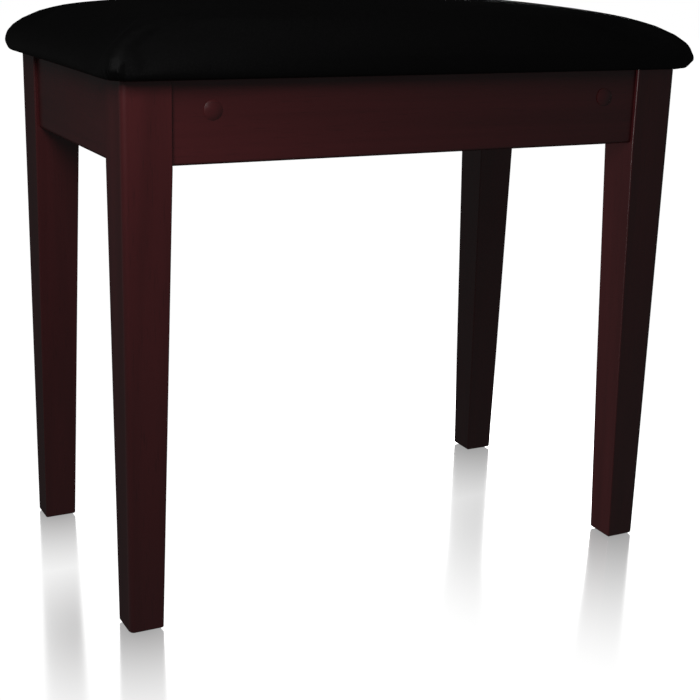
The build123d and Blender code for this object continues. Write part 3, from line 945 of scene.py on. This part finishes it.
# %% Metal finishes
for label, names, low, high, dark, light in (
    (
        "zinc_plate",
        ("bolt_washers", "wing_nuts", "apron_screws", "side_screws", "seat_screws", "glide_nails"),
        0.28,
        0.45,
        (0.50, 0.51, 0.52, 1),
        (0.66, 0.67, 0.70, 1),
    ),
    ("staple_wire", ("staples",), 0.2, 0.32, (0.58, 0.58, 0.57, 1), (0.70, 0.70, 0.68, 1)),
    ("zinc_thread", ("hanger_bolts",), 0.3, 0.45, (0.48, 0.49, 0.50, 1), (0.62, 0.63, 0.66, 1)),
):
    finish, tree, shader, spot = new_finish(label, Metallic=1.0)
    bloom = add(tree, "ShaderNodeTexNoise", {"Vector": spot, "Scale": 160.0, "Detail": 5.0})
    plate = blend_colours(tree, dark, light, bloom.outputs["Fac"])
    feed(tree, shader.inputs["Base Color"], plate)
    set_gloss(tree, shader, spot, 120.0, low, high)
    raise_surface(tree, shader, bloom.outputs["Fac"], 0.03 * MM, 0.5)
    paint(finish, *names)

# %% [markdown]
# ## Nylon
# The floor glides are moulded nylon, dark brown, a little scuffed. The scuffs are a fine
# noise that lightens the brown and roughens it.

# %% Nylon finish
NYLON = (0.022, 0.017, 0.015, 1)
NYLON_SCUFFED = (0.045, 0.036, 0.031, 1)
finish, tree, shader, spot = new_finish("glide_nylon", Specular_IOR_Level=0.4)
scuffs = add(tree, "ShaderNodeTexNoise", {"Vector": spot, "Scale": 420.0, "Detail": 3.0})
brown = blend_colours(tree, NYLON, NYLON_SCUFFED, scuffs.outputs["Fac"])
feed(tree, shader.inputs["Base Color"], brown)
set_gloss(tree, shader, spot, 200.0, 0.42, 0.6)
raise_surface(tree, shader, scuffs.outputs["Fac"], 0.05 * MM, 0.5)
paint(finish, *at_corners("floor_glide"))

# %% [markdown]
# ## The floor
# The bench stands on a pale, polished floor that is lit so brightly that it has no
# shadows, only a soft reflection under each foot. So its finish is two things: an even
# white glow, and polish that is strongest around the feet. The polish mirrors white
# screens that only the floor can see, and a leg in front of a screen shows as grey.
# From below the floor is clear, so that the underside of the bench can be looked at.

# %% Make the floor and its finish
FLOOR_SIZE = 12
GLIDE_RADIUS = 10 * MM
FOOT_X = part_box("floor_glide_front_right")[1].x - GLIDE_RADIUS
FOOT_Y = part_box("floor_glide_rear_right")[1].y - GLIDE_RADIUS
REACH_LEFT, REACH_RIGHT = 0.2, 0.36
FADE = 1.5
POLISH = 0.68
WHITE = (1, 1, 1, 1)
GLOW = 1.02
let_go()
bpy.ops.mesh.primitive_plane_add(size=FLOOR_SIZE, location=(0, 0, 0))
floor = bpy.context.object
floor.name = "studio_floor"
floor.visible_diffuse = False
floor.visible_glossy = False

finish, tree, shader, spot = new_finish("polished_white_floor")
corner_spot = add(tree, "ShaderNodeVectorMath", {0: spot}, operation="ABSOLUTE")
from_foot = add(
    tree,
    "ShaderNodeVectorMath",
    {0: corner_spot.outputs["Vector"], 1: (FOOT_X, FOOT_Y, 0)},
    operation="DISTANCE",
)
across = add(tree, "ShaderNodeSeparateXYZ", {"Vector": spot})
rightness = add(
    tree,
    "ShaderNodeMapRange",
    {"Value": across.outputs["X"], "From Min": -FOOT_X, "From Max": FOOT_X},
)
reach = between(tree, REACH_LEFT, REACH_RIGHT, rightness.outputs["Result"])
away = result(tree, "DIVIDE", from_foot.outputs["Value"], reach)
near = add(tree, "ShaderNodeMath", {0: 1.0, 1: away}, operation="SUBTRACT", use_clamp=True)
fade = result(tree, "POWER", near.outputs["Value"], FADE)
polish = result(tree, "MULTIPLY", fade, POLISH)
tree.nodes.remove(shader)
glow = add(tree, "ShaderNodeEmission", {"Color": WHITE, "Strength": GLOW})
mirror = add(tree, "ShaderNodeBsdfGlossy", {"Color": WHITE, "Roughness": 0.12})
both = add(
    tree,
    "ShaderNodeMixShader",
    {0: polish, 1: glow.outputs["Emission"], 2: mirror.outputs["BSDF"]},
)
underneath = tree.nodes.new("ShaderNodeNewGeometry").outputs["Backfacing"]
clear = add(tree, "ShaderNodeBsdfTransparent")
one_sided = add(
    tree,
    "ShaderNodeMixShader",
    {0: underneath, 1: both.outputs["Shader"], 2: clear.outputs["BSDF"]},
)
tree.links.new(one_sided.outputs["Shader"], tree.nodes["Material Output"].inputs["Surface"])
floor.data.materials.append(finish)

# %% [markdown]
# ## The studio
# One soft key light stands close, front left, a little above the seat, so the light falls
# off along the front. It is two lamps in one place: the stronger one is flagged off the
# right legs, as a studio hand would do with a board, so that they stay dark. A low side
# lamp reaches only the front right leg, whose inner face turns to the left. A lamp behind
# keeps the far side readable, and a wide panel overhead gives the cushion a faint sheen.


# %% Lamps and screens
def add_lamp(name, place, towards, size, power):
    let_go()
    bpy.ops.object.light_add(type="AREA", location=place)
    lamp = bpy.context.object
    lamp.name = name
    lamp.data.shape = "RECTANGLE"
    lamp.data.size, lamp.data.size_y = size
    lamp.data.energy = power
    lamp.rotation_euler = (Vector(towards) - Vector(place)).to_track_quat("-Z", "Y").to_euler()
    lamp.visible_camera = False
    return lamp


def light_group(name, *pieces):
    """A collection that lamps can be linked to."""
    group = bpy.data.collections.new(name)
    for piece in pieces:
        group.objects.link(piece)
    return group


KEY_PLACE = (-0.46, -0.47, 0.68)
KEY_AIM = (-0.20, -0.05, 0.25)
KEY_SIZE = (0.24, 0.24)
add_lamp("key_lamp", KEY_PLACE, KEY_AIM, KEY_SIZE, 0.3)
flagged_key = add_lamp("flagged_key_lamp", KEY_PLACE, KEY_AIM, KEY_SIZE, 0.95)
side_lamp = add_lamp("side_lamp", (-0.95, -0.27, 0.34), (0.2, -0.1, 0.25), (0.12, 0.3), 2.9)
add_lamp("rear_lamp", (0.75, 0.85, 0.36), (0.0, 0.0, 0.25), (0.5, 0.4), 2.2)
add_lamp("overhead_panel", (0, 0, 2.2), (0, 0, 0), (2.0, 2.0), 2.0)

right_legs = light_group("right_legs", NODES["leg_front_right"], NODES["leg_rear_right"])
for item in right_legs.collection_objects:
    item.light_linking.link_state = "EXCLUDE"
flagged_key.light_linking.receiver_collection = right_legs
side_lamp.light_linking.receiver_collection = light_group("lit_leg", NODES["leg_front_right"])

floor_only = light_group("floor_only", floor)
SCREEN_AWAY = 2.6
SCREEN_HEIGHT = 3.2
SCREEN_POWER = 70.0
CEILING_POWER = 110.0
wide = 2 * SCREEN_AWAY
middle = SCREEN_HEIGHT / 2
for name, way in (("east", (1, 0)), ("west", (-1, 0)), ("north", (0, 1)), ("south", (0, -1))):
    place = (way[0] * SCREEN_AWAY, way[1] * SCREEN_AWAY, middle)
    screen = add_lamp(
        "screen_" + name, place, (0, 0, middle), (wide, SCREEN_HEIGHT), SCREEN_POWER
    )
    screen.light_linking.receiver_collection = floor_only
ceiling = add_lamp(
    "screen_ceiling", (0, 0, SCREEN_HEIGHT), (0, 0, 0), (wide, wide), CEILING_POWER
)
ceiling.light_linking.receiver_collection = floor_only

# %% [markdown]
# ## The backdrop
# The backdrop is white to the camera and nearly dark to everything else, because dark
# lacquer looks its best in a dark room. What the lacquer mirrors is a dim room that is
# brighter in front of the bench and to its left, as if there were windows there.

# %% Backdrop
ROOM_LIGHT = 0.013
MIRRORED_BEHIND = 0.012
MIRRORED_LEFT = 0.12
MIRRORED_FRONT = 0.118
world = bpy.data.worlds.new("studio")
bpy.context.scene.world = world
world.use_nodes = True
tree = world.node_tree
ray = tree.nodes.new("ShaderNodeLightPath").outputs
way = tree.nodes.new("ShaderNodeTexCoord").outputs["Generated"]
parts = add(tree, "ShaderNodeSeparateXYZ", {"Vector": way})
leftness = add(
    tree,
    "ShaderNodeMapRange",
    {"Value": parts.outputs["X"], "From Min": 0.05, "From Max": -0.65},
)
window = result(tree, "POWER", leftness.outputs["Result"], 2.0)
behind = between(tree, MIRRORED_BEHIND, MIRRORED_LEFT, window)
frontness = add(
    tree,
    "ShaderNodeMapRange",
    {"Value": parts.outputs["Y"], "From Min": 0.3, "From Max": -0.6},
)
wall = between(tree, behind, MIRRORED_FRONT, frontness.outputs["Result"])
dim = between(tree, ROOM_LIGHT, wall, ray["Is Glossy Ray"])
seen = result(tree, "MAXIMUM", ray["Is Camera Ray"], dim)
background = tree.nodes["Background"]
feed(tree, background.inputs["Color"], WHITE)
feed(tree, background.inputs["Strength"], seen)
